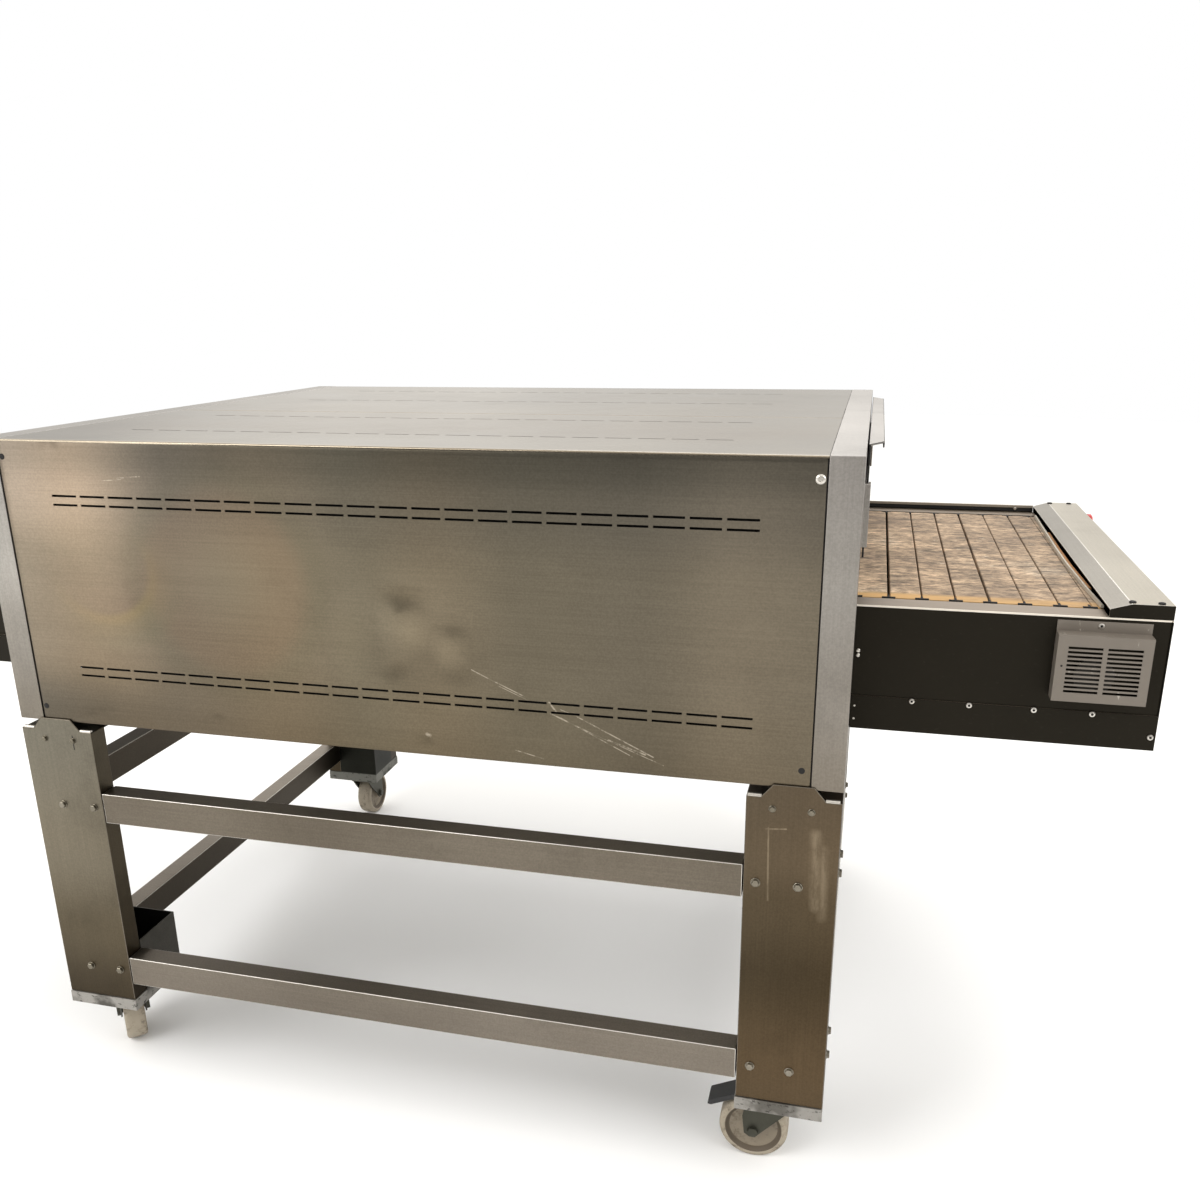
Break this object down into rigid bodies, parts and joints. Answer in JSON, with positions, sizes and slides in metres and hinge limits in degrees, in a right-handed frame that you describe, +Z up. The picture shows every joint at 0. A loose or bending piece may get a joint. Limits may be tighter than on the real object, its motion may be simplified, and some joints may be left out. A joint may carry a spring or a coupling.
{
  "type": "conveyor pizza oven",
  "caption": "Tunnel pizza oven with a stone-slab conveyor through a steel casing, vented side panel, end hoods and a braced stand on swivel castors.",
  "frame": {"origin": "on the floor, at the middle of the oven's length and of its overall depth", "axes": "+X along the conveyor to the unload end, -Y to the vented service side, +Z up"},
  "size_m": [2.506, 1.315, 1.288],
  "materials": {
    "casing_steel": "brushed, warm grey",
    "frame_steel": "brushed, warm grey",
    "conveyor_dark": "dark satin",
    "hood_steel": "brushed",
    "vent_steel": "light warm grey, matt",
    "inner_steel": "plain",
    "insulation": "insulating board in sheet",
    "heater": "scaled",
    "stone": "baked, stained",
    "chain_steel": "oiled",
    "castor_wheel": "worn cream",
    "castor_fork": "dull zinc",
    "brake_pedal": "black",
    "estop_red": "red",
    "motor_paint": "grey",
    "knob_plastic": "black",
    "button_green": "green",
    "fan_plastic": "black"
  },
  "bodies": {
    "oven": {"leg_fl": "frame_steel", "foot_fl": "frame_steel", "leg_fr": "frame_steel", "foot_fr": "frame_steel", "leg_rl": "frame_steel", "foot_rl": "frame_steel", "leg_rr": "frame_steel", "foot_rr": "frame_steel", "rail_front_upper": "frame_steel", "rail_front_lower": "frame_steel", "rail_rear_upper": "frame_steel", "rail_left_upper": "frame_steel", "rail_left_lower": "frame_steel", "rail_right_upper": "frame_steel", "rail_right_lower": "frame_steel", "base_pan": "inner_steel", "service_side_panel": "casing_steel", "control_side_panel": "casing_steel", "top_panel_front": "casing_steel", "top_panel_rear": "casing_steel", "top_centre_strip": "casing_steel", "end_frame_left": "casing_steel", "end_frame_right": "casing_steel", "upper_chamber": "insulation", "lower_chamber": "insulation", "heater_upper": "heater", "heater_lower": "heater", "conveyor_side_front": "conveyor_dark", "conveyor_side_rear": "conveyor_dark", "under_cover_left": "conveyor_dark", "under_cover_right": "conveyor_dark", "end_hood_left": "hood_steel", "end_hood_right": "hood_steel", "belt_top_run": "stone", "belt_return_run": "stone", "chain_front": "chain_steel", "chain_rear": "chain_steel", "gear_motor": "motor_paint", "vent_cover": "vent_steel", "control_box": "inner_steel"},
    "swivel_fl": {"fork_fl": "castor_fork"},
    "roller_fl": {"wheel_fl": "castor_wheel"},
    "swivel_fr": {"fork_fr": "castor_fork"},
    "roller_fr": {"wheel_fr": "castor_wheel"},
    "swivel_rl": {"fork_rl": "castor_fork"},
    "roller_rl": {"wheel_rl": "castor_wheel"},
    "swivel_rr": {"fork_rr": "castor_fork"},
    "roller_rr": {"wheel_rr": "castor_wheel"},
    "pedal_fl": {"brake_pedal_fl": "brake_pedal"},
    "pedal_fr": {"brake_pedal_fr": "brake_pedal"},
    "drive": {"drive_shaft": "inner_steel"},
    "idle": {"idle_shaft": "inner_steel"},
    "gate_left": {"mouth_gate_left": "casing_steel"},
    "estop_left": {"estop_button_left": "estop_red"},
    "gate_right": {"mouth_gate_right": "casing_steel"},
    "estop_right": {"estop_button_right": "estop_red"},
    "main_switch": {"main_switch_knob": "knob_plastic"},
    "start": {"start_button": "button_green"},
    "fan": {"fan_rotor": "fan_plastic"}
  },
  "joints": [
    {"name": "castor_fl_swivel", "type": "hinge", "parent": "oven", "child": "swivel_fl", "pos_m": [-0.679, -0.563, 0.14], "axis": [0, 0, 1], "continuous": true},
    {"name": "castor_fl_roll", "type": "hinge", "parent": "swivel_fl", "child": "roller_fl", "pos_m": [-0.70936, -0.52844, 0.0625], "axis": [-0.7513, -0.66, 0], "continuous": true},
    {"name": "castor_fr_swivel", "type": "hinge", "parent": "oven", "child": "swivel_fr", "pos_m": [0.679, -0.563, 0.14], "axis": [0, 0, 1], "continuous": true},
    {"name": "castor_fr_roll", "type": "hinge", "parent": "swivel_fr", "child": "roller_fr", "pos_m": [0.633, -0.563, 0.0625], "axis": [0, -1, 0], "continuous": true},
    {"name": "castor_rl_swivel", "type": "hinge", "parent": "oven", "child": "swivel_rl", "pos_m": [-0.679, 0.563, 0.14], "axis": [0, 0, 1], "continuous": true},
    {"name": "castor_rl_roll", "type": "hinge", "parent": "swivel_rl", "child": "roller_rl", "pos_m": [-0.679, 0.609, 0.0625], "axis": [-1, 0, 0], "continuous": true},
    {"name": "castor_rr_swivel", "type": "hinge", "parent": "oven", "child": "swivel_rr", "pos_m": [0.679, 0.563, 0.14], "axis": [0, 0, 1], "continuous": true},
    {"name": "castor_rr_roll", "type": "hinge", "parent": "swivel_rr", "child": "roller_rr", "pos_m": [0.6574, 0.60362, 0.0625], "axis": [-0.8829, -0.4695, 0], "continuous": true},
    {"name": "castor_fl_brake", "type": "hinge", "parent": "swivel_fl", "child": "pedal_fl", "pos_m": [-0.71992, -0.51642, 0.134], "axis": [-0.7513, -0.66, 0], "range_deg": [0, 7]},
    {"name": "castor_fr_brake", "type": "hinge", "parent": "swivel_fr", "child": "pedal_fr", "pos_m": [0.617, -0.563, 0.134], "axis": [0, -1, 0], "range_deg": [0, 7]},
    {"name": "drive_shaft_spin", "type": "hinge", "parent": "oven", "child": "drive", "pos_m": [1.12, 0, 0.935], "axis": [0, 1, 0], "continuous": true},
    {"name": "idle_shaft_spin", "type": "hinge", "parent": "oven", "child": "idle", "pos_m": [-1.12, 0, 0.935], "axis": [0, 1, 0], "continuous": true},
    {"name": "mouth_gate_left_slide", "type": "slide", "parent": "oven", "child": "gate_left", "axis": [0, 0, -1], "range_m": [0, 0.045]},
    {"name": "estop_left_press", "type": "slide", "parent": "oven", "child": "estop_left", "axis": [1, 0, 0], "range_m": [0, 0.005], "stiffness_N_per_m": 400, "springref_m": -0.002},
    {"name": "mouth_gate_right_slide", "type": "slide", "parent": "oven", "child": "gate_right", "axis": [0, 0, -1], "range_m": [0, 0.045]},
    {"name": "estop_right_press", "type": "slide", "parent": "oven", "child": "estop_right", "axis": [-1, 0, 0], "range_m": [0, 0.005], "stiffness_N_per_m": 400, "springref_m": -0.002},
    {"name": "main_switch_turn", "type": "hinge", "parent": "oven", "child": "main_switch", "pos_m": [0.545, 0.6, 0.94], "axis": [0, 1, 0], "range_deg": [0, 90]},
    {"name": "start_button_press", "type": "slide", "parent": "oven", "child": "start", "axis": [0, -1, 0], "range_m": [0, 0.004], "stiffness_N_per_m": 300, "springref_m": -0.001},
    {"name": "cooling_fan_spin", "type": "hinge", "parent": "oven", "child": "fan", "pos_m": [-0.4, 0.62, 0.93], "axis": [0, 1, 0], "continuous": true}
  ],
  "couplings": [
    {"joint": "idle_shaft_spin", "follows": "drive_shaft_spin", "ratio": 1}
  ]
}
